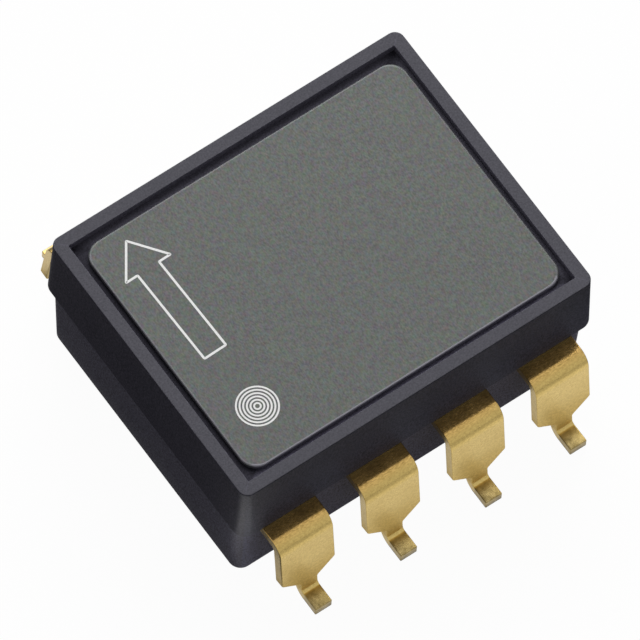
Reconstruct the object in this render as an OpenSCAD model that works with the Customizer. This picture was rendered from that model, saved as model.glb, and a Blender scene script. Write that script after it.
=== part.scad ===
// Inclinometer sensor chip: a pre-moulded plastic tub with a metal lid and eight gull-wing leads.
// Sizes are in millimetres. The origin lies on the board, under the middle of the package:
// +X runs along the lead rows, +Y across them, +Z up out of the board.

/* [Body] */
// Body length at the parting line, along the lead rows
body_l = 10.51; // [10.2:0.01:12]
// Body width at the parting line, across the lead rows
body_w = 8.43; // [8:0.01:10]
// Height of the upper part, from the parting line to the rim
upper_h = 2.22; // [1.8:0.02:3]
// Height of the lower part, from its underside to the parting line
lower_h = 2.45; // [2.2:0.05:3]
// Gap between the body's underside and the board
standoff = 0.31; // [0.1:0.01:0.35]
// Radius of the upper part's vertical corners at the parting line
corner_r = 0.34; // [0.25:0.01:0.6]
// Radius of the lower part's vertical corners at the parting line
lower_corner_r = 0.42; // [0.25:0.01:0.7]
// Draft angle of the upper walls, in degrees
upper_draft = 2.05; // [0:0.05:3]
// Draft angle of the lower walls, in degrees
lower_draft = 2.2; // [0:0.1:3]
// Ledge by which the upper part overhangs the lower part at each end
step_end = 0.06; // [0.03:0.01:0.2]
// Ledge by which the upper part overhangs the lower part along each side
step_side = 0.16; // [0.05:0.01:0.2]
// Bevel that breaks the rim's outer edge
rim_bevel = 0.03; // [0.01:0.01:0.08]

/* [Recess and lid] */
// Width of the rim around the lid recess
rim_w = 0.345; // [0.25:0.005:0.5]
// Depth of the recess below the rim
recess_h = 0.26; // [0.2:0.01:0.4]
// Gap between lid and rim at each end
lid_gap_end = 0.16; // [0.05:0.01:0.25]
// Gap between lid and rim along each side
lid_gap_side = 0.2; // [0.05:0.01:0.25]
// Sheet thickness of the lid
lid_t = 0.12; // [0.08:0.01:0.15]
// How far the lid sits off the middle of its recess, along X
lid_off_x = 0.04; // [-0.04:0.01:0.04]
// How far the lid sits off the middle of its recess, along Y
lid_off_y = -0.03; // [-0.04:0.01:0.04]
// Corner radius of the lid
lid_r = 0.47; // [0.2:0.01:0.8]
// Thickness of the adhesive under the lid
glue_t = 0.03; // [0.02:0.01:0.05]
// How far the adhesive stays back from the lid's edge
glue_inset = 0.12; // [0.05:0.01:0.2]
// Width of the adhesive band
glue_w = 0.36; // [0.2:0.01:0.4]

/* [Cavity] */
// Width of the ledge that carries the lid
ledge_w = 0.72; // [0.65:0.01:0.8]
// Width of the bonding shelf along each lead row
shelf_side = 0.85; // [0.7:0.01:1]
// Width of the shelf at each end
shelf_end = 0.4; // [0.2:0.01:0.6]
// Thickness of the floor under the dies
floor_t = 0.9; // [0.5:0.05:1]
// Corner radius of the cavity
cavity_r = 0.4; // [0.2:0.01:0.6]
// Air gap between the gel and the lid's underside
gel_gap = 0.35; // [0.2:0.01:0.6]

/* [Leads] */
// Distance between neighbouring leads
pitch = 2.54; // [2.5:0.01:2.58]
// How far both lead rows sit off the middle of the body, along X
lead_off_x = -0.03; // [-0.05:0.01:0.05]
// Thickness of the lead strip
lead_t = 0.28; // [0.15:0.01:0.3]
// Width of the shoulder and plate of a lead
lead_w = 1.57; // [1.3:0.01:1.8]
// Flat run of a lead outside the body, before its first bend
lead_run = 0.39; // [0.3:0.01:0.6]
// Inside radius of both bends
bend_r = 0.1; // [0.08:0.01:0.2]
// Outward lean of the plate, in degrees
lead_splay = 7; // [0:0.5:12]
// Height above the board at which the plate starts to narrow
taper_z = 1; // [0.95:0.01:1.2]
// Height over which the plate narrows to the foot
taper_h = 0.4; // [0.3:0.01:0.45]
// Fillet where the narrowing plate meets the stub
taper_fillet = 0.1; // [0.05:0.01:0.15]
// Rounding of the plate's lower corners
plate_round = 0.06; // [0.02:0.01:0.12]
// Width of the stub and foot
foot_w = 0.49; // [0.35:0.01:0.6]
// Flat length of the foot
foot_l = 0.51; // [0.35:0.01:0.7]
// Width of the bond finger inside the body
finger_w = 1; // [0.7:0.01:1.2]
// How far the wide shoulder reaches into the wall
shoulder_in = 0.5; // [0.3:0.01:0.6]
// Bare shelf between the finger's end and the die well
finger_back = 0.12; // [0.05:0.01:0.3]

/* [Dies] */
// Length of the readout die, along X
asic_l = 2.8; // [2:0.05:3]
// Width of the readout die, along Y
asic_w = 2.9; // [2:0.05:3]
// Thickness of the readout die
asic_t = 0.4; // [0.25:0.01:0.5]
// Side of the square sensing element
sensor_w = 2.2; // [1.8:0.05:2.3]
// Thickness of the sensing element's base and cap wafers
wafer_t = 0.5; // [0.35:0.01:0.55]
// Thickness of the sensing element's middle wafer
mass_t = 0.38; // [0.3:0.01:0.4]
// Frame width around the proof mass
mass_frame = 0.32; // [0.25:0.01:0.4]
// Trench between the proof mass and its frame
mass_trench = 0.12; // [0.08:0.01:0.15]
// Width of each spring beam that carries the proof mass
beam_w = 0.22; // [0.15:0.01:0.3]
// Thickness of the spring beams
beam_t = 0.08; // [0.05:0.01:0.12]
// Gap above and below the proof mass
mass_gap = 0.02; // [0.01:0.005:0.04]
// Thickness of the die-attach adhesive
attach_t = 0.05; // [0.03:0.01:0.08]
// Rim of adhesive that shows around each die
attach_margin = 0.08; // [0.03:0.01:0.12]
// Space between the two dies
die_gap = 0.7; // [0.4:0.05:0.9]

/* [Bond wires] */
// Diameter of the bond wires
wire_d = 0.032; // [0.025:0.001:0.05]
// Diameter of the ball at the start of each wire
ball_d = 0.085; // [0.06:0.005:0.1]
// Height of the ball
ball_h = 0.025; // [0.015:0.005:0.04]
// Distance of the bond pads from a die's edge
pad_inset = 0.15; // [0.1:0.01:0.2]
// Radius of a wire's bend at the top of its loop
wire_bend_r = 0.12; // [0.08:0.01:0.2]
// Angle at which a wire comes down on its second pad, in degrees
wire_fall = 14; // [10:1:20]
// Spacing of the pads between sensing element and readout die
sensor_pad_pitch = 0.4; // [0.25:0.01:0.5]

/* [Hidden] */
$fn = 64;
leads_per_row = 4;
lead_count = 2 * leads_per_row;
sensor_wires = 4;
// Excess radius with which a blend crosses its edges, so that no hairline is left where they touch
arc_excess = 0.0002;

// Heights from the board
base_z = standoff;
parting_z = base_z + lower_h;
rim_z = parting_z + upper_h;
ledge_z = rim_z - recess_h;
lid_z = ledge_z + glue_t;
floor_z = base_z + floor_t;
die_z = floor_z + attach_t;
asic_top = die_z + asic_t;
mass_z = die_z + wafer_t;
cap_z = mass_z + mass_t;
sensor_top = cap_z + wafer_t;
gel_z = lid_z - gel_gap;

// Plan sizes
upper_spread = upper_h * tan(upper_draft);
lower_spread = lower_h * tan(lower_draft);
recess_l = body_l - 2 * upper_spread - 2 * rim_w;
recess_w = body_w - 2 * upper_spread - 2 * rim_w;
lid_l = recess_l - 2 * lid_gap_end;
lid_w = recess_w - 2 * lid_gap_side;
cavity_l = recess_l - 2 * ledge_w;
cavity_w = recess_w - 2 * ledge_w;
well_l = cavity_l - 2 * shelf_end;
well_w = cavity_w - 2 * shelf_side;
glue_l = lid_l - 2 * glue_inset;
glue_wide = lid_w - 2 * glue_inset;

// Die places along X: the pair is centred in the well
pair_l = sensor_w + die_gap + asic_l;
sensor_x = -pair_l / 2 + sensor_w / 2;
asic_x = pair_l / 2 - asic_l / 2;

// Lead section in its own plane: distance out from the middle, and height above the board
lead_top = parting_z;
bend_out = bend_r + lead_t;
shoulder_end = body_w / 2 - shoulder_in;
finger_end = well_w / 2 + finger_back;
top_bend = [body_w / 2 + lead_run, lead_top - bend_out];
bend_reach = bend_out + bend_r;
plate_l = (top_bend.y + bend_reach * sin(lead_splay) - bend_out) / cos(lead_splay);
lead_tip = top_bend.x + bend_reach * cos(lead_splay) + plate_l * sin(lead_splay) + foot_l;

// Block of size l by w at z = 0 with rounded vertical edges, whose walls move out by spread over h.
// Each corner is a cone about a vertical axis, so the flat walls stay tangent to it all the way up.
module drafted_block(l, w, h, r, spread) {
    cx = l / 2 - r;
    cy = w / 2 - r;
    rotate([90, 0, 0])
        linear_extrude(2 * cy, center = true)
            wall_section(l / 2, h, spread);
    rotate([90, 0, 90])
        linear_extrude(2 * cx, center = true)
            wall_section(w / 2, h, spread);
    for (x = [-cx, cx], y = [-cy, cy])
        translate([x, y, 0])
            cylinder(h, r, r + spread);
}

module wall_section(half, h, spread) {
    polygon([[-half, 0], [half, 0], [half + spread, h], [-half - spread, h]]);
}

module rounded_plate(l, w, h, r) {
    linear_extrude(h) {
        square([l - 2 * r, w], center = true);
        square([l, w - 2 * r], center = true);
        for (x = [-1, 1], y = [-1, 1])
            translate([x * (l / 2 - r), y * (w / 2 - r)])
                circle(r);
    }
}

module box_at(x, y, z, size) {
    translate([x - size.x / 2, y - size.y / 2, z])
        cube(size);
}

// Patch between a corner and the arc of radius r that blends its two edges.
// The edges leave the corner at angles a and b, and the patch reaches r past the corner.
module corner_patch(corner, a, b, r) {
    half = abs(a - b) / 2;
    middle_way = [cos((a + b) / 2), sin((a + b) / 2)];
    along = r / tan(half);
    middle = corner + r / sin(half) * middle_way;
    difference() {
        polygon([
            corner - r * middle_way,
            corner + along * [cos(a), sin(a)],
            middle,
            corner + along * [cos(b), sin(b)]
        ]);
        translate(middle) circle(r + arc_excess);
    }
}

// Flat part of a lead: wide shoulder in the wall and outside it, narrow bond finger inside
module lead_blade() {
    translate([-finger_w / 2, -shoulder_end, lead_top - lead_t])
        cube([finger_w, shoulder_end - finger_end, lead_t]);
    translate([-lead_w / 2, -top_bend.x, lead_top - lead_t])
        cube([lead_w, top_bend.x - shoulder_end, lead_t]);
}

// Bent stretch of the strip, round the z axis of its own frame
module strip_bend(angle) {
    rotate_extrude(angle = angle)
        translate([bend_r, -lead_w / 2])
            square([lead_t, lead_w]);
}

// Straight stretch of the strip, which goes on from the x axis of its own frame
module strip_run(length) {
    translate([bend_r, 0, -lead_w / 2])
        cube([lead_t, length, lead_w]);
}

// Formed part of a lead: first bend, leaning plate, second bend the other way, and foot.
// Each stretch starts in the frame in which the one before it ends.
module formed_strip() {
    turn = 90 - lead_splay;
    translate([0, -top_bend.x, top_bend.y])
        rotate([0, 90, 0])
            rotate(180) {
                strip_bend(turn);
                rotate(turn) {
                    strip_run(plate_l);
                    translate([bend_reach, plate_l, 0])
                        mirror([1, 0, 0]) {
                            strip_bend(turn);
                            rotate(turn)
                                strip_run(foot_l);
                        }
                }
            }
}

// Front outline of a lead: wide plate, V-shaped narrowing with filleted roots, and the stub
module lead_outline() {
    half = lead_w / 2;
    stub = foot_w / 2;
    neck_z = taper_z - taper_h;
    slope = atan2(taper_h, half - stub);
    difference() {
        union() {
            polygon([
                [-half, taper_z], [-stub, neck_z], [-stub, -lead_t], [stub, -lead_t], [stub, neck_z],
                [half, taper_z], [half, lead_top + lead_t], [-half, lead_top + lead_t]
            ]);
            corner_patch([stub, neck_z], -90, slope, taper_fillet);
            corner_patch([-stub, neck_z], 180 - slope, 270, taper_fillet);
        }
        corner_patch([half, taper_z], 90, 180 + slope, plate_round);
        corner_patch([-half, taper_z], 90, -slope, plate_round);
    }
}

// One lead of the row on the -Y side, at x = 0
module formed_lead() {
    lead_blade();
    intersection() {
        formed_strip();
        rotate([90, 0, 0])
            linear_extrude(lead_tip + lead_t)
                lead_outline();
    }
}

// Puts a child in the place of lead number i, counted round the package from the marked corner
module at_lead(i) {
    row = floor((i - 1) / leads_per_row);
    place = (i - 1) % leads_per_row - (leads_per_row - 1) / 2;
    translate([lead_off_x, 0, 0])
        rotate(180 * row)
            translate([place * pitch, 0, 0])
                children();
}

module lead(i) {
    color("goldenrod")
        at_lead(i)
            formed_lead();
}

module cavity(top) {
    translate([0, 0, lead_top])
        rounded_plate(cavity_l, cavity_w, top - lead_top, cavity_r);
    translate([0, 0, floor_z])
        rounded_plate(well_l, well_w, lead_top - floor_z, cavity_r);
}

// Moulded tub: two drafted parts that meet at the parting line, lid recess, stepped cavity, lead slots
module housing() {
    color("#26262b")
        difference() {
            union() {
                translate([0, 0, rim_z])
                    mirror([0, 0, 1])
                        rim_and_upper_walls();
                translate([0, 0, parting_z])
                    mirror([0, 0, 1])
                        drafted_block(body_l - 2 * step_end, body_w - 2 * step_side, lower_h,
                                      lower_corner_r, -lower_spread);
            }
            box_at(0, 0, ledge_z, [recess_l, recess_w, 2 * recess_h]);
            cavity(ledge_z + recess_h / 2);
            for (i = [1 : lead_count])
                at_lead(i)
                    lead_blade();
        }
}

// Upper part turned over: the rim lies at z = 0, and the walls spread towards the parting line
module rim_and_upper_walls() {
    bevel_spread = rim_bevel * tan(upper_draft);
    l = body_l - 2 * upper_spread + 2 * bevel_spread;
    w = body_w - 2 * upper_spread + 2 * bevel_spread;
    r = corner_r - upper_spread + bevel_spread;
    drafted_block(l - 2 * rim_bevel, w - 2 * rim_bevel, rim_bevel, r - rim_bevel, rim_bevel);
    translate([0, 0, rim_bevel])
        drafted_block(l, w, upper_h - rim_bevel, r, upper_spread - bevel_spread);
}

module lid() {
    color("#6b6e6c")
        translate([lid_off_x, lid_off_y, lid_z])
            rounded_plate(lid_l, lid_w, lid_t, lid_r);
}

module lid_adhesive() {
    r = lid_r - glue_inset;
    color("dimgray")
        translate([lid_off_x, lid_off_y, ledge_z])
            difference() {
                rounded_plate(glue_l, glue_wide, glue_t, r);
                box_at(0, 0, -glue_t, [glue_l - 2 * glue_w, glue_wide - 2 * glue_w, 3 * glue_t]);
            }
}

module asic_die_attach() {
    size = [asic_l + 2 * attach_margin, asic_w + 2 * attach_margin, attach_t];
    color("gainsboro")
        box_at(asic_x, 0, floor_z, size);
}

module asic_die() {
    color("slategray")
        box_at(asic_x, 0, die_z, [asic_l, asic_w, asic_t]);
}

module sensor_die_attach() {
    side = sensor_w + 2 * attach_margin;
    color("gainsboro")
        box_at(sensor_x, 0, floor_z, [side, side, attach_t]);
}

module sensor_base_wafer() {
    color("lightsteelblue")
        box_at(sensor_x, 0, die_z, [sensor_w, sensor_w, wafer_t]);
}

// Etched middle wafer, one piece: frame, proof mass and the two spring beams between them
module sensor_mass_wafer() {
    open_w = sensor_w - 2 * mass_frame;
    mass_w = open_w - 2 * mass_trench;
    color("darkslategray")
        union() {
            difference() {
                box_at(sensor_x, 0, mass_z, [sensor_w, sensor_w, mass_t]);
                box_at(sensor_x, 0, mass_z - mass_t, [open_w, open_w, 3 * mass_t]);
            }
            box_at(sensor_x, 0, mass_z + mass_gap, [mass_w, mass_w, mass_t - 2 * mass_gap]);
            for (side = [-1, 1])
                box_at(sensor_x - mass_w / 2 - mass_trench / 2, side * mass_w / 4,
                       mass_z + (mass_t - beam_t) / 2, [mass_trench, beam_w, beam_t]);
        }
}

module sensor_cap_wafer() {
    color("lightsteelblue")
        box_at(sensor_x, 0, cap_z, [sensor_w, sensor_w, wafer_t]);
}

// Bond wire: a ball on the pad at p, a riser, a bend, and a straight fall to the higher pad at q
module bond_wire(p, q) {
    way = q - p;
    fall_l = (norm([way.x, way.y]) - wire_bend_r * (1 + sin(wire_fall))) / cos(wire_fall);
    riser_h = way.z - wire_bend_r * cos(wire_fall) + fall_l * sin(wire_fall);
    spare = wire_d / sin(wire_fall);
    trim = 3 * spare;
    translate(p)
        cylinder(ball_h, d = ball_d);
    difference() {
        translate(p)
            rotate(atan2(way.y, way.x)) {
                cylinder(riser_h, d = wire_d);
                translate([wire_bend_r, 0, riser_h])
                    rotate([90, 0, 0])
                        mirror([1, 0, 0]) {
                            rotate_extrude(angle = 90 + wire_fall)
                                translate([wire_bend_r, 0])
                                    circle(d = wire_d);
                            rotate(90 + wire_fall)
                                translate([wire_bend_r, 0, 0])
                                    rotate([-90, 0, 0])
                                        cylinder(fall_l + spare, d = wire_d);
                        }
            }
        box_at(q.x, q.y, q.z - trim, [trim, trim, trim]);
    }
}

// Wires from the readout die to the eight bond fingers
module lead_bond_wires() {
    pad_step = (asic_l - 2 * pad_inset) / (leads_per_row - 1);
    pad_y = asic_w / 2 - pad_inset;
    color("gold")
        for (side = [-1, 1], k = [0 : leads_per_row - 1]) {
            pad = [asic_x - asic_l / 2 + pad_inset + k * pad_step, side * pad_y, asic_top];
            place = (k - (leads_per_row - 1) / 2) * pitch + lead_off_x;
            bond_wire(pad, [place, side * (finger_end + pad_inset), lead_top]);
        }
}

// Wires from the readout die to the top of the sensing element
module sensor_bond_wires() {
    color("gold")
        for (k = [0 : sensor_wires - 1]) {
            y = (k - (sensor_wires - 1) / 2) * sensor_pad_pitch;
            bond_wire([asic_x - asic_l / 2 + pad_inset, y, asic_top],
                      [sensor_x + sensor_w / 2 - pad_inset, y, sensor_top]);
        }
}

// Soft gel that fills the cavity round the dies and wires
module gel_fill() {
    color("lightgray", 0.4)
        difference() {
            cavity(gel_z);
            asic_die_attach();
            asic_die();
            sensor_die_attach();
            box_at(sensor_x, 0, die_z, [sensor_w, sensor_w, sensor_top - die_z]);
            lead_bond_wires();
            sensor_bond_wires();
        }
}

housing();
lid();
lid_adhesive();
gel_fill();
for (i = [1 : lead_count])
    lead(i);
asic_die();
asic_die_attach();
sensor_die_attach();
sensor_base_wafer();
sensor_mass_wafer();
sensor_cap_wafer();
lead_bond_wires();
sensor_bond_wires();
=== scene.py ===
"""Looks of the inclinometer sensor chip: moulded tub, sheet lid with its printed marks, and formed leads."""

import math

import bpy
import numpy as np
from mathutils import Matrix, Vector


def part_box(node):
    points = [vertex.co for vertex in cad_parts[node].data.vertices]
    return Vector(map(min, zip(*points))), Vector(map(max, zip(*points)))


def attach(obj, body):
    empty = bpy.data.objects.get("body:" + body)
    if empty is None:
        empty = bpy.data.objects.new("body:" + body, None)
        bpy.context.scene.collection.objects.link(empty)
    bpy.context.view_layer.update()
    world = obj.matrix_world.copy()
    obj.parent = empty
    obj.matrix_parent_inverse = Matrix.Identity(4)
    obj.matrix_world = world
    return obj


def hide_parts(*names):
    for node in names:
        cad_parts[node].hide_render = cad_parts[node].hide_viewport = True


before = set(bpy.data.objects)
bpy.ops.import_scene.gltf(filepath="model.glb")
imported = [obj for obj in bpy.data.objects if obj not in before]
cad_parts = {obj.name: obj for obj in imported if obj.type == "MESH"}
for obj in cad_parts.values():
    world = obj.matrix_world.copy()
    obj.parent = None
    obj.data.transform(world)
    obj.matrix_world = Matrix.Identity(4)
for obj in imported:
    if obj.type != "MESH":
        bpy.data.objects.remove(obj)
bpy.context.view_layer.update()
MM = 0.001

# Moulded tub, in millimetres and degrees
BODY = (5.255, 4.215)
BASE_Z, PARTING_Z, RIM_Z = 0.31, 2.76, 4.98
CORNER_R, LOWER_CORNER_R = 0.34, 0.42
UPPER_DRAFT, LOWER_DRAFT = 2.05, 2.2
STEP_END, STEP_SIDE = 0.06, 0.16
RIM_W = 0.345
RECESS_CORNER_R, CAVITY_CORNER_R = 0.02, 0.4
LEDGE_Z, LEDGE_W = 4.72, 0.72
SHELF_END, SHELF_SIDE = 0.4, 0.85
FLOOR_Z = 1.21
# Small rings in the flat middle of the underside and of the floor, where the skin is closed
BASE_MIDDLE, FLOOR_MIDDLE = (4, 3, 0.2), (3, 1.6, 0.2)
# Rounding of each edge, from the underside to the floor of the well
TUB_REACH = (0.02, 0.01, 0.02, 0.035, 0.012, 0.012, 0.015, 0.015, 0.015, 0.03)
# A corner sharper than the first value has its next points this far off, so that its painted shade can differ
SHARP_CORNER_R, SHARP_CORNER_GAP = 0.1, 0.45
CORNER_STEPS = 10
SMOOTH_ANGLE, PRINT_SMOOTH_ANGLE = 40, 20

# Lid and its print, in millimetres and degrees
LID_R = 0.47
LID_REACH = (0.012, 0.06)
LID_MIDDLE_INSET, LID_MIDDLE_R = 1, 0.2
PRINT_T = 0.004
ARROW_MIDDLE, ARROW_ASKEW = (-3.527, 1.34), 1.33
ARROW_LINE, ARROW_REACH = 0.06, 0.03
RING_MIDDLE, RING_LINE = (-3.472, -2.237), 0.046
RINGS, RING_POINTS, FIRST_RING_R, RING_STEP = 6, 96, 0.08, 0.088

# Painted light and shade of the moulding: a factor for each colour by face and side, and the strength of the
# grain
# Painted light: lower walls lighter than upper walls, the near lower wall lightest, the rim top lighter than
# upper walls
LOWER_TONE, NEAR_LOWER_TONE = (1.25, 1.21, 1.38, 0.55), (1.37, 1.36, 1.85, 0.55)
UPPER_TONE, RIM_TONE = (0.59, 0.565, 0.67, 0.55), (1.10, 1.10, 1.10, 0.2)
# Painted light and shade on the near upper wall: lighter at its foot above the leads, darker higher up
NEAR_WALL_FOOT, NEAR_WALL_TOP = (0.72, 0.75, 0.98, 0.55), (0.51, 0.49, 0.59, 0.55)
# Painted light on the walls of the recess, and painted shade in the corners of the ledge
RECESS_TONE, LEDGE_CORNER_SHADE = (1.6, 1.56, 1.72, 0.4), (0.42, 0.41, 0.47, 0.4)
# One entry for each side: right, far, left and near
NEAR = 3
LOWER_TONES = np.array([LOWER_TONE, LOWER_TONE, LOWER_TONE, NEAR_LOWER_TONE])
# Painted light and shade on the ledge by side, darkest on the left side
LEDGE_TONES = np.array([(1.4, 1.36, 1.5, 0.3), (1.3, 1.27, 1.4, 0.3),
                        (0.32, 0.31, 0.36, 0.4), (1.6, 1.54, 1.77, 0.4)])
# Strength of the painted highlight along the lid's sheared edge, for each side
EDGE_SHEEN = np.array([0.2, 0.2, 0.45, 1.1])
# Heights and distances at which the painted tones change, in millimetres, a little off the edges of the faces
NEAR_FOOT_H = 0.1
BELOW_PARTING, BELOW_RIM, ABOVE_LEDGE, BELOW_LEDGE, PAST_RECESS = 0.003, 0.004, 0.015, 0.02, 0.005
OUTER_CORNER, INNER_CORNER, PAST_CAVITY_CORNER = 0.1, 0.6, 0.02

# Leads, in millimetres and degrees
LEADS, IN_ROW = 8, 4
PITCH, LEAD_OFF = 2.54, -0.03
LEAD_T, LEAD_HALF, FINGER_HALF, STUB_HALF = 0.28, 0.785, 0.5, 0.245
FINGER_END, SHOULDER_END, BEND_START, TIP = 2.3405, 3.715, 4.605, 5.8440
BEND_R, SPLAY = 0.1, 7.0
BEND_EASE = 0.4
TAPER_Z, NECK_Z = 1.0, 0.6
TAPER_REACH, NECK_REACH = 0.03, 0.045
EDGE_R, EDGE_STEPS, LEAST_EDGE_R = 0.025, 3, 0.004
# Steps of the centre line, and rows of points in each part of a lead
LINE_STEPS = 6000
BEND_ROWS, TAPER_ROWS, FOOT_BEND_ROWS, TOE_ROWS = 33, 90, 25, 6
# The shoulder's step in width lies between two rows this far apart
HAIR = 1e-6
# Stretches at the wall and past the second bend over which the painted shade and scuffing change
SHOULDER_SHADE_REACH, SCUFF_SHADE_REACH = 0.1, 0.05
# Darkening of the foot, partly scuffing and partly painted shade: on the top, the sides and the toe
TOP_SCUFF_SHADE, SIDE_SCUFF_SHADE, TOE_SCUFF_SHADE = 0.95, 0.6, 0.8


def rounded_rings(half_x, half_y, radius, steps, least=0):
    """Rounded rectangles, one row of points for each entry of the three arrays.

    Each is four quarter circles about its corner centres. Each quarter has one more point along the straight
    side before and after it, so that smooth shading stays out of the flat sides. That point is 0.3 of the
    radius away, or `least` where that is more, but at most a fifth of the shorter straight half side.
    """
    half_x, half_y, radius, least = (np.reshape(v, (-1, 1, 1)) for v in (half_x, half_y, radius, least))
    quarter = np.arange(4)[:, None]
    share = np.concatenate([[0], np.linspace(0, 1, steps + 1), [1]])
    angle = (quarter + share) * math.pi / 2
    side_x = np.array([1, -1, -1, 1])[:, None]
    side_y = np.array([1, 1, -1, -1])[:, None]
    along = np.zeros(steps + 3)
    along[0], along[-1] = -1, 1
    straight = np.minimum(half_x - radius, half_y - radius)
    along = along * np.minimum(np.maximum(0.3 * radius, least), 0.2 * straight)
    x = side_x * (half_x - radius) + radius * np.cos(angle) - along * np.sin(angle)
    y = side_y * (half_y - radius) + radius * np.sin(angle) + along * np.cos(angle)
    rows = x.shape[0]
    return x.reshape(rows, -1), y.reshape(rows, -1)


def eased(corners, reach, steps=4, clear=1.6):
    """Open run of straight stretches with eased corners, in any number of dimensions.

    Each inner corner is cut by a parabola between two points at its own reach from it, with one more point
    on the straight stretch before and after, `clear` times as far away.
    """
    corners = np.asarray(corners, float)
    reach = np.asarray(reach, float)[:, None]
    here = corners[1:-1]
    back = corners[:-2] - here
    on = corners[2:] - here
    back = back / np.linalg.norm(back, axis=1, keepdims=True)
    on = on / np.linalg.norm(on, axis=1, keepdims=True)
    t = np.linspace(0, 1, steps + 1)[None, :, None]
    start = (here + reach * back)[:, None]
    end = (here + reach * on)[:, None]
    curve = (1 - t) ** 2 * start + 2 * t * (1 - t) * here[:, None] + t ** 2 * end
    before = (here + clear * reach * back)[:, None]
    after = (here + clear * reach * on)[:, None]
    run = np.concatenate([before, curve, after], axis=1).reshape(-1, corners.shape[1])
    return np.concatenate([corners[:1], run, corners[-1:]])


def skin_faces(rows, columns, endless=False):
    """Quads between neighbouring rings. The last ring joins the first where the skin is endless.

    Otherwise one face closes each end ring.
    """
    row, column = np.mgrid[: rows if endless else rows - 1, :columns]
    ahead, beside = (row + 1) % rows, (column + 1) % columns
    quads = np.stack([row * columns + column, row * columns + beside,
                      ahead * columns + beside, ahead * columns + column], axis=-1).reshape(-1, 4).tolist()
    if endless:
        return quads
    ring = np.arange(columns)
    return quads + [ring[::-1].tolist(), ((rows - 1) * columns + ring).tolist()]


def repeated(faces, points, times):
    """Faces of a number of equal bodies that follow each other, from those of one with so many points."""
    return [[v + points * i for v in face] for i in range(times) for face in faces]


def add_mesh(name, points, faces, smooth=SMOOTH_ANGLE):
    """Mesh object at the origin from points in millimetres, smooth but for edges over `smooth` degrees."""
    mesh = bpy.data.meshes.new(name)
    mesh.from_pydata(points.reshape(-1, 3) * MM, [], faces)
    mesh.shade_smooth()
    mesh.set_sharp_from_angle(angle=math.radians(smooth))
    piece = bpy.data.objects.new(name, mesh)
    bpy.context.scene.collection.objects.link(piece)
    return piece


def dress(piece, finish, node=None):
    """Gives a piece its finish, hangs it under the root body, and hides the CAD part of the given node."""
    piece.data.materials.append(finish)
    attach(piece, "root")
    if node:
        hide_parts(node)


def profile_body(name, corners, reach, middle=(0, 0)):
    """Body whose skin is a profile carried round a rounded rectangle.

    A corner of the profile is (half length, half width, corner radius, height). All four are eased together.
    """
    half_x, half_y, radius, z = eased(corners, reach).T
    gap = np.where(radius < SHARP_CORNER_R, SHARP_CORNER_GAP, 0)
    x, y = rounded_rings(half_x, half_y, radius, CORNER_STEPS, gap)
    points = np.stack([x + middle[0], y + middle[1], np.broadcast_to(z[:, None], x.shape)], axis=-1)
    return add_mesh(name, points, skin_faces(*x.shape))


def lead_blades():
    """Flat part of all eight leads as T-shaped prisms.

    The outline is drawn once, and repeated by the pitch and by a half turn.
    """
    outline = np.array([[-FINGER_HALF, FINGER_END], [-FINGER_HALF, SHOULDER_END], [-LEAD_HALF, SHOULDER_END],
                        [-LEAD_HALF, BEND_START], [LEAD_HALF, BEND_START], [LEAD_HALF, SHOULDER_END],
                        [FINGER_HALF, SHOULDER_END], [FINGER_HALF, FINGER_END]])
    order = np.arange(LEADS)
    place = (order % IN_ROW - (IN_ROW - 1) / 2) * PITCH
    turn = np.where(order < IN_ROW, 1, -1)
    x = turn[:, None] * (outline[:, 0] + place[:, None]) + LEAD_OFF
    y = turn[:, None] * -outline[:, 1] + 0 * x
    z = np.array([PARTING_Z - LEAD_T, PARTING_Z])[None, :, None] + 0 * x[:, None]
    points = np.stack([np.repeat(x[:, None], 2, 1), np.repeat(y[:, None], 2, 1), z], axis=-1)
    faces = repeated(skin_faces(2, len(outline)), 2 * len(outline), LEADS)
    return add_mesh("lead_blades", points, faces)


def moulded_tub():
    """Tub, with the slots of the leads cut out of it.

    Its profile runs from the middle of the underside up the outer walls, over the rim and into the well.
    """
    upper_spread = (RIM_Z - PARTING_Z) * math.tan(math.radians(UPPER_DRAFT))
    lower_spread = (PARTING_Z - BASE_Z) * math.tan(math.radians(LOWER_DRAFT))
    lower = (BODY[0] - STEP_END, BODY[1] - STEP_SIDE, LOWER_CORNER_R)
    rim = tuple(v - upper_spread for v in (*BODY, CORNER_R))
    recess = (rim[0] - RIM_W, rim[1] - RIM_W, RECESS_CORNER_R)
    cavity = (recess[0] - LEDGE_W, recess[1] - LEDGE_W, CAVITY_CORNER_R)
    well = (cavity[0] - SHELF_END, cavity[1] - SHELF_SIDE, CAVITY_CORNER_R)
    corners = [
        (*BASE_MIDDLE, BASE_Z),
        (*(v - lower_spread for v in lower), BASE_Z),
        (*lower, PARTING_Z),
        (*BODY, CORNER_R, PARTING_Z),
        (*rim, RIM_Z),
        (*recess, RIM_Z),
        (*recess, LEDGE_Z),
        (*cavity, LEDGE_Z),
        (*cavity, PARTING_Z),
        (*well, PARTING_Z),
        (*well, FLOOR_Z),
        (*FLOOR_MIDDLE, FLOOR_Z),
    ]
    tub = profile_body("moulded_tub", corners, TUB_REACH)
    blades = lead_blades()
    cut = tub.modifiers.new("lead_slots", "BOOLEAN")
    cut.object = blades
    cut.solver = "EXACT"
    depsgraph = bpy.context.evaluated_depsgraph_get()
    mesh = bpy.data.meshes.new_from_object(tub.evaluated_get(depsgraph))
    tub.modifiers.clear()
    tub.data = mesh
    mesh.set_sharp_from_angle(angle=math.radians(SMOOTH_ANGLE))
    bpy.data.objects.remove(blades)
    # Painted light and shade for each face, and the strength of the grain
    mark_painted_light(mesh, *recess[:2])
    return tub


def nearest_side(x, y, half_x, half_y):
    """Number of the side of a rectangle that each point is nearest to: right, far, left or near."""
    return np.argmin([half_x - x, half_y - y, half_x + x, half_y + y], axis=0)


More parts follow.
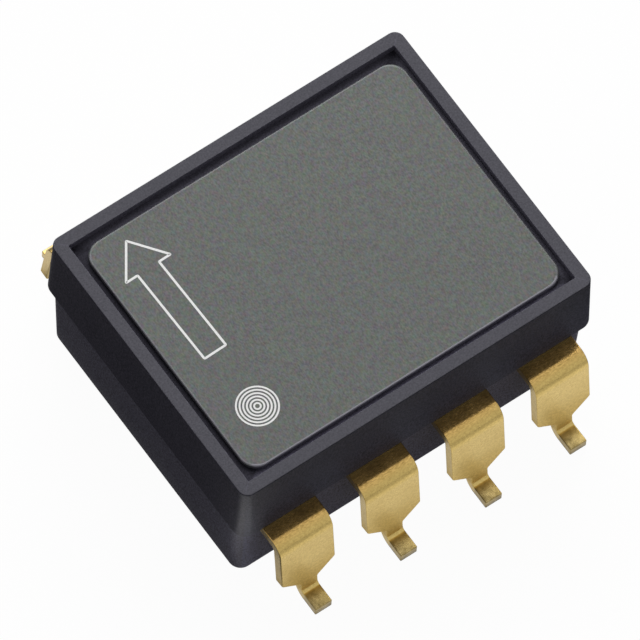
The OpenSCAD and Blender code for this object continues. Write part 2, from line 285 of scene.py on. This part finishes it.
def mark_painted_light(mesh, recess_x, recess_y):
    """Painted light and shade, and strength of grain, at each point of the moulding, by its place.

    The places are lower walls, upper walls, rim top, recess and ledge, each painted lighter or darker.
    Each side of the lower walls and of the ledge has a painted tone of its own, and so have the near upper
    wall and the corners of the ledge, which are painted darker.
    """
    place = np.empty(3 * len(mesh.vertices))
    mesh.vertices.foreach_get("co", place)
    x, y, z = place.reshape(-1, 3).T / MM
    height = z[:, None]

    side = nearest_side(x, y, *BODY)
    # Painted light and shade by face and side
    near_wall = np.where(height < PARTING_Z + NEAR_FOOT_H, NEAR_WALL_FOOT, NEAR_WALL_TOP)
    upper = np.where(side[:, None] == NEAR, near_wall, UPPER_TONE)
    tone = np.where(height < PARTING_Z - BELOW_PARTING, LOWER_TONES[side], upper)
    tone = np.where(height > RIM_Z - BELOW_RIM, RIM_TONE, tone)

    shorter, longer = np.sort([recess_x - np.abs(x), recess_y - np.abs(y)], axis=0)
    # Painted shade in the outer and inner corners of the ledge
    outer_corner = longer < OUTER_CORNER
    inner_corner = (shorter > INNER_CORNER) & (longer < LEDGE_W + CAVITY_CORNER_R + PAST_CAVITY_CORNER)
    ledge = LEDGE_TONES[nearest_side(x, y, recess_x, recess_y)]
    ledge = np.where((outer_corner | inner_corner)[:, None], LEDGE_CORNER_SHADE, ledge)
    # Painted light on the walls of the recess
    sunk = np.where(height > LEDGE_Z + ABOVE_LEDGE, RECESS_TONE, ledge)
    inside = (shorter > -PAST_RECESS) & (z > LEDGE_Z - BELOW_LEDGE)
    tone = np.where(inside[:, None], sunk, tone)
    mesh.attributes.new("painted_light_and_grain", "FLOAT_COLOR", "POINT").data.foreach_set("color", tone.ravel())


def sheet_lid():
    """Lid: its profile runs from the middle of the underside round the sheared edge to that of the top."""
    low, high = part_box("lid")
    half_x, half_y, _ = (high - low) / 2 / MM
    middle = (low + high) / 2 / MM
    flat = (half_x - LID_MIDDLE_INSET, half_y - LID_MIDDLE_INSET, LID_MIDDLE_R)
    rim = (half_x, half_y, LID_R)
    corners = [(*flat, low.z / MM), (*rim, low.z / MM), (*rim, high.z / MM), (*flat, high.z / MM)]
    lid = profile_body("sheet_lid", corners, LID_REACH, middle)
    rows = np.arange(len(eased(corners, LID_REACH)))
    edge = np.repeat((rows > 1) & (rows < rows[-1] - 1), len(lid.data.vertices) // len(rows))
    x, y = np.array([v.co.xy / MM - middle.xy for v in lid.data.vertices]).T
    # Painted highlight along the sheared edge, with a strength for each side
    sheen = edge * EDGE_SHEEN[nearest_side(x, y, half_x, half_y)]
    lid.data.attributes.new("painted_edge_sheen", "FLOAT", "POINT").data.foreach_set("value", sheen)
    return lid


def ramp(x, ease):
    """Zero below zero and x above it, with a parabola of half length `ease` between the two."""
    return np.where(x > ease, x, np.clip(x + ease, 0, None) ** 2 / (4 * ease))


def lead_line():
    """Centre line of a lead: distance along it, way out, height, heading, and the places of its six knots.

    The heading is a straight-line function of the distance: level, steeper through the first bend, steady
    along the plate, back to level through the second bend, level in the foot. It eases out of the first bend
    along a parabola, which starts and ends a share BEND_EASE of the bend before and after its end. The flat
    is shorter by what that adds to the way out. Adding up cosine and sine of the heading gives the line.
    """
    splay, turn = math.radians(SPLAY), math.radians(90 - SPLAY)
    bend = (BEND_R + LEAD_T / 2) * turn
    reach = 2 * BEND_R + LEAD_T
    plate = (PARTING_Z - 2 * (LEAD_T + BEND_R) + reach * math.sin(splay)) / math.cos(splay)
    flat = BEND_START - FINGER_END - BEND_EASE ** 2 / 6 * bend * turn
    foot = TIP - (BEND_START + reach * math.cos(splay) + plate * math.sin(splay))
    knots = np.cumsum([0, flat, bend, plate, bend, foot])

    along = np.linspace(0, knots[-1], LINE_STEPS + 1)
    heading = np.interp(along, knots, [0, 0, -turn, -turn, 0, 0])
    late = (along - knots[1]) / bend - (1 - BEND_EASE)
    easing = (late > 0) & (late < 2 * BEND_EASE)
    heading = np.where(easing, -turn * (1 - BEND_EASE + late - late ** 2 / (4 * BEND_EASE)), heading)
    middle = (heading[1:] + heading[:-1]) / 2
    out = FINGER_END + np.concatenate([[0], np.cumsum(np.cos(middle))]) * along[1]
    up = PARTING_Z - LEAD_T / 2 + np.concatenate([[0], np.cumsum(np.sin(middle))]) * along[1]
    return along, out, up, heading, knots


def lead_wear_and_light(s, knots, half, across, above):
    """Wear and painted light at each point of a lead, in three parts: scuffing, dullness and shoulder shade.

    The foot is scuffed and darkened as painted shade but for one long edge, left bright as a painted
    highlight; the plate is duller towards the stub; and the shoulder is darkened brown on top as a painted
    reflection of the dark wall, less at the wall.
    """
    _, bend_start, bend_end, plate_end, foot_start, tip = knots
    wall = BODY[1] - FINGER_END
    upper = above > LEAD_T / 2 - 0.8 * EDGE_R
    # One long top edge of the foot is left bright as a painted highlight
    highlight_edge = across > (half - 1.1 * EDGE_R)[:, None]
    on_foot = np.interp(s, [foot_start, foot_start + SCUFF_SHADE_REACH], [0, 1])[:, None]
    # Scuffing with painted shade on the foot, darkest on the top
    scuff_and_shade = on_foot * np.where(highlight_edge, 0, np.where(upper & (across < 0), TOP_SCUFF_SHADE, SIDE_SCUFF_SHADE))
    scuff_and_shade[s > tip - 0.5 * EDGE_R] = TOE_SCUFF_SHADE
    dull_start, dull_full, dull_end = plate_end - 1.3, plate_end - 0.5, plate_end + 0.15
    dull = np.interp(s, [dull_start, dull_full, plate_end, dull_end], [0, 1, 1, 0])
    half_bent = (bend_start + bend_end) / 2
    # Painted reflection of the dark wall: the shoulder darkened brown on top, less right at the wall
    shoulder_shade = np.interp(s, [wall, wall + SHOULDER_SHADE_REACH, bend_start, half_bent], [0.2, 0.9, 1, 0])
    return np.stack([scuff_and_shade, np.broadcast_to(dull[:, None], across.shape), upper * shoulder_shade[:, None]], axis=-1)


def formed_lead(number):
    """Lead as a rounded rectangle carried along its centre line, with the width changing on the way.

    The half width follows the height on the plate: a ramp with eased corners between the plate and the stub.
    At the toe the section draws in along a quarter circle.
    """
    along, out_line, up_line, heading, knots = lead_line()
    _, bend_start, bend_end, plate_end, foot_start, tip = knots
    shoulder = SHOULDER_END - FINGER_END
    wall = BODY[1] - FINGER_END
    eased_end = bend_end + BEND_EASE * (bend_end - bend_start)
    flat_end, taper_start, taper_end = bend_start - 0.05, plate_end - 1.1, plate_end + 0.02
    s = np.unique(np.concatenate([
        [0, shoulder - HAIR, shoulder, wall, wall + SHOULDER_SHADE_REACH, flat_end],
        np.linspace(bend_start, eased_end, BEND_ROWS),
        np.linspace(taper_start, taper_end, TAPER_ROWS),
        np.linspace(taper_end, foot_start, FOOT_BEND_ROWS),
        [foot_start + SCUFF_SHADE_REACH],
        tip - EDGE_R * (1 - np.sin(np.linspace(0, 1, TOE_ROWS) * math.pi / 2))]))
    out, up, lean = (np.interp(s, along, v)[:, None] for v in (out_line, up_line, heading))

    slope = (LEAD_HALF - STUB_HALF) / (TAPER_Z - NECK_Z)
    narrowing = ramp(TAPER_Z - up[:, 0], TAPER_REACH) - ramp(NECK_Z - up[:, 0], NECK_REACH)
    half = np.where(s < shoulder - HAIR / 2, FINGER_HALF, LEAD_HALF - slope * narrowing)
    past = np.clip(s - (tip - EDGE_R), 0, EDGE_R)
    inset = EDGE_R - np.sqrt(EDGE_R ** 2 - past ** 2)
    edge_r = np.maximum(EDGE_R - inset, LEAST_EDGE_R)
    across, above = rounded_rings(half - inset, LEAD_T / 2 - inset, edge_r, EDGE_STEPS)

    x = across + ((number - 1) % IN_ROW - (IN_ROW - 1) / 2) * PITCH
    y = -(out - above * np.sin(lean))
    z = up + above * np.cos(lean)
    side = 1 if number <= IN_ROW else -1
    points = np.stack([side * x + LEAD_OFF, side * y, z], axis=-1)
    lead = add_mesh(f"formed_lead_{number}", points, skin_faces(*x.shape))
    # Wear and painted light: scuffing with painted shade, dullness, and the shoulder's painted reflection
    wear_and_painted_light = lead_wear_and_light(s, knots, half, across, above)
    lead.data.attributes.new("wear_and_painted_light", "FLOAT_VECTOR", "POINT").data.foreach_set("vector", wear_and_painted_light.ravel())
    return lead


def printed_loop(points, width, z):
    """Printed line along a closed run of points: a flat bar carried round it, with mitred corners.

    The offset at a point is the sum of its two edge normals over one plus their dot product.
    """
    edge = np.roll(points, -1, axis=0) - points
    edge = edge / np.linalg.norm(edge, axis=1, keepdims=True)
    normal = np.stack([-edge[:, 1], edge[:, 0]], axis=1)
    before = np.roll(normal, 1, axis=0)
    mitre = (normal + before) / (1 + np.sum(normal * before, axis=1, keepdims=True)) * width / 2
    ring = np.stack([points - mitre, points - mitre, points + mitre, points + mitre], axis=1)
    height = np.broadcast_to(z + np.array([0, PRINT_T, PRINT_T, 0]), ring.shape[:2])
    return np.concatenate([ring, height[..., None]], axis=-1)


def axis_arrow(z):
    """Outline of the arrow that shows the sensing direction, from its seven corners, printed a bit askew."""
    askew = math.radians(ARROW_ASKEW)
    tip, barb, tail = 1.82, 0.91, -1.822
    head, shaft = 0.665, 0.32
    corners = np.array([[0, tip], [-head, barb], [-shaft, barb], [-shaft, tail],
                        [shaft, tail], [shaft, barb], [head, barb]])
    along = np.array([[math.cos(askew), math.sin(askew)], [-math.sin(askew), math.cos(askew)]])
    corners = np.array(ARROW_MIDDLE) + corners @ along
    closed = np.concatenate([corners[-1:], corners, corners[:1]])
    run = eased(closed, [ARROW_REACH] * len(corners))[1:-1]
    points = printed_loop(run, ARROW_LINE, z)
    return add_mesh("axis_arrow", points, skin_faces(len(points), 4, endless=True), PRINT_SMOOTH_ANGLE)


def first_lead_rings(z):
    """Concentric circles that mark the first lead."""
    angle = np.linspace(0, 2 * math.pi, RING_POINTS, endpoint=False)
    circle = np.stack([np.cos(angle), np.sin(angle)], axis=1)
    radii = FIRST_RING_R + RING_STEP * np.arange(RINGS)
    rings = [printed_loop(np.array(RING_MIDDLE) + r * circle, RING_LINE, z) for r in radii]
    faces = repeated(skin_faces(RING_POINTS, 4, endless=True), 4 * RING_POINTS, RINGS)
    return add_mesh("first_lead_rings", np.concatenate(rings), faces, PRINT_SMOOTH_ANGLE)


def finish(name, **sockets):
    """New material, its nodes and its Principled shader, with constants on the shader's own sockets."""
    material = bpy.data.materials.new(name)
    material.use_nodes = True
    shader = material.node_tree.nodes["Principled BSDF"]
    for socket, value in sockets.items():
        shader.inputs[socket.replace("_", " ")].default_value = value
    return material, material.node_tree, shader


def attribute(tree, name):
    """Outputs of a node that reads an attribute of the mesh."""
    node = tree.nodes.new("ShaderNodeAttribute")
    node.attribute_name = name
    return node.outputs


def calculate(tree, operation, *values, kind="Math"):
    """Result of a math node, or of a vector math node, on outputs of other nodes and constants."""
    node = tree.nodes.new(f"ShaderNode{kind}")
    node.operation = operation
    for socket, value in zip(node.inputs, values):
        if isinstance(value, bpy.types.NodeSocket):
            tree.links.new(value, socket)
        else:
            socket.default_value = value
    return node.outputs[0]


def grain(tree, size, stretch=(1, 1, 1), detail=3.0, output="Fac"):
    """Noise on Object coordinates: cells of about `size` millimetres, drawn out by `stretch` per axis."""
    place = tree.nodes.new("ShaderNodeTexCoord")
    mapping = tree.nodes.new("ShaderNodeMapping")
    mapping.inputs["Scale"].default_value = [1 / (size * MM * s) for s in stretch]
    noise = tree.nodes.new("ShaderNodeTexNoise")
    noise.inputs["Scale"].default_value = 1
    noise.inputs["Detail"].default_value = detail
    tree.links.new(place.outputs["Object"], mapping.inputs["Vector"])
    tree.links.new(mapping.outputs["Vector"], noise.inputs["Vector"])
    return noise.outputs[output]


def spread(tree, source, low, high):
    """Noise value from about a quarter to three quarters, mapped to low and high."""
    scale = tree.nodes.new("ShaderNodeMapRange")
    scale.inputs["From Min"].default_value = 0.25
    scale.inputs["From Max"].default_value = 0.75
    scale.inputs["To Min"].default_value = low
    scale.inputs["To Max"].default_value = high
    tree.links.new(source, scale.inputs["Value"])
    return scale.outputs["Result"]


def tint(tree, amount, first, second):
    """Mix of two colours by an amount from a node, each a colour or a node's output."""
    mix = tree.nodes.new("ShaderNodeMix")
    mix.data_type = "RGBA"
    tree.links.new(amount, mix.inputs["Factor"])
    first_colour, second_colour, result = mix.inputs[6], mix.inputs[7], mix.outputs[2]
    for socket, colour in ((first_colour, first), (second_colour, second)):
        if isinstance(colour, tuple):
            socket.default_value = (*colour, 1)
        else:
            tree.links.new(colour, socket)
    return result


def relief(tree, shader, source, depth):
    """Bump from a node's value, `depth` millimetres from lowest to highest."""
    bump = tree.nodes.new("ShaderNodeBump")
    bump.inputs["Strength"].default_value = 1
    bump.inputs["Distance"].default_value = depth * MM
    tree.links.new(source, bump.inputs["Height"])
    tree.links.new(bump.outputs["Normal"], shader.inputs["Normal"])


def black_moulding():
    """Black filled moulding compound: fine grain of filler, faint clouds, and painted light and shade by
    face.
    """
    material, tree, shader = finish("black_moulding", Specular_IOR_Level=0.06)
    speck = grain(tree, 0.043, (1, 1, 1.5), 1)
    cloud = grain(tree, 1.4)
    shade = tint(tree, spread(tree, cloud, 0, 1), (0.090, 0.088, 0.104), (0.084, 0.083, 0.098))
    # Painted light and shade of each face and side, with the strength of the grain in its alpha
    tone = attribute(tree, "painted_light_and_grain")
    swing = calculate(tree, "MULTIPLY_ADD", spread(tree, speck, -1, 1), tone["Alpha"], 1)
    toned = calculate(tree, "MULTIPLY", shade, tone["Color"], kind="VectorMath")
    grained = calculate(tree, "MULTIPLY", toned, swing, kind="VectorMath")
    tree.links.new(grained, shader.inputs["Base Color"])
    tree.links.new(spread(tree, cloud, 0.56, 0.64), shader.inputs["Roughness"])
    relief(tree, shader, speck, 0.002)
    return material


def lid_sheet():
    """Rolled lid sheet: grain drawn out along Y, specks of faint colour and uneven roughness.

    Its sheared edge is painted lighter as a highlight, strongest on the near side.
    """
    material, tree, shader = finish("lid_sheet", Metallic=0.5, Specular_IOR_Level=0.2)
    streak = grain(tree, 0.04, (1, 1.8, 1), 1)
    fleck = grain(tree, 0.09, (1, 1.4, 1), 1, "Color")
    cloud = grain(tree, 2.2)
    grey = tint(tree, spread(tree, streak, 0, 1), (0.052, 0.056, 0.053), (0.112, 0.116, 0.112))
    shade = tint(tree, spread(tree, cloud, 0, 0.25), grey, (0.080, 0.088, 0.081))
    strength = calculate(tree, "MULTIPLY_ADD", fleck, (0.6, 0.6, 0.6), (0.72, 0.72, 0.72), kind="VectorMath")
    flecked = calculate(tree, "MULTIPLY", shade, strength, kind="VectorMath")
    # Painted highlight: the sheared edge lighter and bluer
    bright = tint(tree, attribute(tree, "painted_edge_sheen")["Fac"], flecked, (0.22, 0.215, 0.245))
    tree.links.new(bright, shader.inputs["Base Color"])
    tree.links.new(spread(tree, streak, 0.42, 0.54), shader.inputs["Roughness"])
    relief(tree, shader, streak, 0.0012)
    return material


def gold_plating():
    """Satin gold plating over rolled strip: fine grain, faint stains and uneven roughness.

    It is scuffed and darkened as painted shade, dull, or darkened brown as a painted reflection of the dark
    wall, by the wear and painted light of each place.
    """
    material, tree, shader = finish("gold_plating", Metallic=1.0)
    speck = grain(tree, 0.055, detail=2)
    stain = grain(tree, 0.5)
    scratch = grain(tree, 0.12, (1, 1.3, 1), 2)
    rolled = grain(tree, 0.032, (2.6, 1, 1), 1)
    satin = tint(tree, spread(tree, speck, 0, 1), (0.55, 0.395, 0.128), (0.78, 0.575, 0.202))
    base = tint(tree, spread(tree, stain, 0, 0.35), satin, (0.62, 0.45, 0.15))
    # Scuffed gold, partly scuffing and partly painted shade
    scuffed_and_shaded = tint(tree, spread(tree, scratch, 0, 1), (0.13, 0.096, 0.036), (0.40, 0.312, 0.142))
    # Painted reflection of the dark wall on the shoulder: darker brown gold, with the rolled grain
    shaded_shoulder_gold = tint(tree, spread(tree, rolled, 0, 1), (0.38, 0.235, 0.06), (0.90, 0.575, 0.2))
    parts = tree.nodes.new("ShaderNodeSeparateXYZ")
    tree.links.new(attribute(tree, "wear_and_painted_light")["Vector"], parts.inputs[0])
    scuff_and_shade, dull, shoulder_shade = parts.outputs
    worn = tint(tree, shoulder_shade, tint(tree, scuff_and_shade, base, scuffed_and_shaded), shaded_shoulder_gold)
    tree.links.new(worn, shader.inputs["Base Color"])
    rough = calculate(tree, "MULTIPLY_ADD", dull, 0.34, spread(tree, stain, 0.21, 0.28))
    tree.links.new(rough, shader.inputs["Roughness"])
    relief(tree, shader, speck, 0.0003)
    return material


def white_print():
    """White print: a little uneven in cover."""
    material, tree, shader = finish("white_print", Roughness=0.6)
    cover = grain(tree, 0.06)
    shade = tint(tree, spread(tree, cover, 0, 1), (0.84, 0.84, 0.83), (0.97, 0.97, 0.97))
    tree.links.new(shade, shader.inputs["Base Color"])
    return material


def plain_grain(name, first, second, size, rough, **sockets):
    """Finish of a piece inside the tub: two close colours mixed by noise, and roughness that follows it."""
    material, tree, shader = finish(name, **sockets)
    noise = grain(tree, size)
    tree.links.new(tint(tree, spread(tree, noise, 0, 1), first, second), shader.inputs["Base Color"])
    tree.links.new(spread(tree, noise, *rough), shader.inputs["Roughness"])
    return material


def area_lamp(name, size, radiance, place, lit=None):
    """Area light that the camera doesn't see, given by its two sizes in metres and its face's brightness.

    Where a collection is given, the lamp lights the pieces in it alone.
    """
    data = bpy.data.lights.new(name, "AREA")
    data.shape = "RECTANGLE"
    data.size, data.size_y = size
    data.energy = radiance * math.pi * data.size * data.size_y
    lamp = bpy.data.objects.new(name, data)
    lamp.matrix_world = place
    lamp.visible_camera = False
    if lit:
        lamp.light_linking.receiver_collection = lit
    bpy.context.scene.collection.objects.link(lamp)
    return lamp


def softbox(name, location, size, radiance, lit=None):
    """Square area light aimed at the part from a location in metres."""
    target = Vector((0, 0, 0.003))
    back = (Vector(location) - target).normalized()
    place = Matrix.Translation(location) @ back.to_track_quat("Z", "Y").to_matrix().to_4x4()
    area_lamp(name, (size, size), radiance, place, lit)


def floor_card(name, middle, size, radiance, lit=None):
    """White card that lies on the floor and shows only in reflections: its middle and size in millimetres."""
    height = 0.05
    place = Matrix.Translation(Vector((*middle, height)) * MM) @ Matrix.Rotation(math.pi, 4, "X")
    card = area_lamp(name, [v * MM for v in size], radiance, place, lit)
    card.visible_diffuse = False


def seen_rays(tree, camera, glossy):
    """Share of white that a ray sees: one value for camera rays, one for reflected and transmitted rays."""
    path = tree.nodes.new("ShaderNodeLightPath").outputs
    either = calculate(tree, "MAXIMUM", path["Is Glossy Ray"], path["Is Transmission Ray"])
    scaled = calculate(tree, "MULTIPLY", either, glossy)
    direct = calculate(tree, "MULTIPLY", path["Is Camera Ray"], camera)
    return calculate(tree, "MAXIMUM", scaled, direct)


def pale_floor():
    """Plain pale disc under the feet, from rings of growing radius.

    It stays white to the camera but keeps a soft shadow.
    """
    around, drop = 64, 0.01
    angle = np.linspace(0, 2 * math.pi, around, endpoint=False)
    radius = np.array([2.0, 20, 100, 700])[:, None]
    x, y = radius * np.cos(angle), radius * np.sin(angle)
    points = np.stack([x, y, np.full_like(x, -drop)], axis=-1)
    quads = np.array(skin_faces(len(radius), around)[:-2])[:, ::-1].tolist()
    floor = add_mesh("pale_floor", points, quads + [np.arange(around).tolist()])
    material = bpy.data.materials.new("pale_floor")
    material.use_nodes = True
    tree = material.node_tree
    tree.nodes.remove(tree.nodes["Principled BSDF"])
    matte = tree.nodes.new("ShaderNodeBsdfDiffuse")
    path = tree.nodes.new("ShaderNodeLightPath")
    pale = tint(tree, path.outputs["Is Camera Ray"], (0.15, 0.15, 0.15), (0.95, 0.95, 0.95))
    tree.links.new(pale, matte.inputs["Color"])
    white = tree.nodes.new("ShaderNodeEmission")
    white.inputs["Color"].default_value = (1, 1, 1, 1)
    mix = tree.nodes.new("ShaderNodeMixShader")
    tree.links.new(seen_rays(tree, camera=0.965, glossy=0.08), mix.inputs[0])
    tree.links.new(matte.outputs[0], mix.inputs[1])
    tree.links.new(white.outputs[0], mix.inputs[2])
    tree.links.new(mix.outputs[0], tree.nodes["Material Output"].inputs["Surface"])
    floor.data.materials.append(material)


def white_surround(level):
    """World: white to the camera and in reflections, and an even soft light of a given level on the part."""
    world = bpy.data.worlds.new("white_surround")
    world.use_nodes = True
    tree = world.node_tree
    soft = tree.nodes["Background"]
    soft.inputs["Color"].default_value = (1, 1, 1, 1)
    soft.inputs["Strength"].default_value = level
    white = tree.nodes.new("ShaderNodeBackground")
    white.inputs["Color"].default_value = (1, 1, 1, 1)
    mix = tree.nodes.new("ShaderNodeMixShader")
    tree.links.new(seen_rays(tree, camera=1, glossy=0.62), mix.inputs[0])
    tree.links.new(soft.outputs[0], mix.inputs[1])
    tree.links.new(white.outputs[0], mix.inputs[2])
    tree.links.new(mix.outputs[0], tree.nodes["World Output"].inputs["Surface"])
    bpy.context.scene.world = world


def photo_camera():
    """Camera at the photograph's angle: azimuth, elevation and roll.

    Its axis passes a little below the middle of the rim.
    """
    azimuth, elevation, roll = (math.radians(v) for v in (-39.684, 64.248, 4.9965))
    distance, axis_right, axis_up = 342.1, -0.0468, -1.4072
    focal_length, half_picture = 14143.5, 320
    back = Vector((math.sin(azimuth) * math.cos(elevation), -math.cos(azimuth) * math.cos(elevation),
                   math.sin(elevation)))
    level = Vector((math.cos(azimuth), math.sin(azimuth), 0))
    rise = back.cross(level)
    right = math.cos(roll) * level + math.sin(roll) * rise
    up = math.cos(roll) * rise - math.sin(roll) * level
    rim_middle = Vector((0, 0, RIM_Z))
    place = rim_middle + distance * back
    back = (place - (rim_middle + axis_right * right + axis_up * up)).normalized()
    right = up.cross(back).normalized()
    turned = Matrix((right, back.cross(right), back)).transposed().to_4x4()
    data = bpy.data.cameras.new("photo_camera")
    data.sensor_width = 36
    data.lens = data.sensor_width / 2 * focal_length / half_picture
    camera = bpy.data.objects.new("photo_camera", data)
    camera.matrix_world = Matrix.Translation(place * MM) @ turned
    bpy.context.scene.collection.objects.link(camera)
    bpy.context.scene.camera = camera


photo_camera()

gold = gold_plating()
tub = moulded_tub()
dress(tub, black_moulding(), "housing")
tub_only = bpy.data.collections.new("tub_only")
tub_only.objects.link(tub)
dress(sheet_lid(), lid_sheet(), "lid")
leads_only = bpy.data.collections.new("leads_only")
for number in range(1, LEADS + 1):
    lead = formed_lead(number)
    dress(lead, gold, f"lead_{number}")
    leads_only.objects.link(lead)
print_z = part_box("lid")[1].z / MM
ink = white_print()
dress(axis_arrow(print_z), ink)
dress(first_lead_rings(print_z), ink)

silicon = plain_grain("polished_silicon", (0.09, 0.10, 0.13), (0.13, 0.14, 0.17), 0.3, (0.12, 0.2),
                      Metallic=0.5)
glue = plain_grain("grey_adhesive", (0.22, 0.22, 0.23), (0.30, 0.30, 0.31), 0.08, (0.45, 0.6))
gel = plain_grain("clear_gel", (0.80, 0.83, 0.84), (0.86, 0.88, 0.88), 1.5, (0.08, 0.14),
                  Transmission_Weight=0.9)
wire = plain_grain("gold_wire", (0.86, 0.63, 0.25), (0.93, 0.70, 0.30), 0.1, (0.15, 0.22), Metallic=1.0)
inner = {
    "asic_die": silicon, "sensor_base_wafer": silicon,
    "sensor_mass_wafer": silicon, "sensor_cap_wafer": silicon,
    "asic_die_attach": glue, "sensor_die_attach": glue, "lid_adhesive": glue,
    "gel_fill": gel, "lead_bond_wires": wire, "sensor_bond_wires": wire,
}
for node, material in inner.items():
    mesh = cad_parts[node].data
    mesh.materials.clear()
    mesh.materials.append(material)

pale_floor()
white_surround(0.2)
softbox("overhead_softbox", (0.055, 0.105, 0.15), 0.13, 3.4)
softbox("far_softbox", (0.10, 0.14, 0.10), 0.14, 4.0)
floor_card("corner_card", (-7.3, -5.75), (2.6, 3.8), 6.2, tub_only)
floor_card("front_corner_card", (-5.2, -6.65), (1.6, 1.9), 8.6, tub_only)
floor_card("low_corner_card", (-5.3, -4.85), (1.4, 1.8), 0.95, tub_only)
floor_card("near_card", (1.4, -7.95), (12.0, 4.1), 0.75)
floor_card("front_card", (1.2, -35), (60, 50), 0.42)
softbox("bend_softbox", (0.05, -0.06, 0.155), 0.13, 0.06, leads_only)
floor_card("far_card", (-0.5, 7.2), (12.0, 3.6), 0.58)
floor_card("under_card", (0.45, -0.4), (11.5, 11.0), 0.52)

bpy.context.scene.view_settings.view_transform = "Standard"
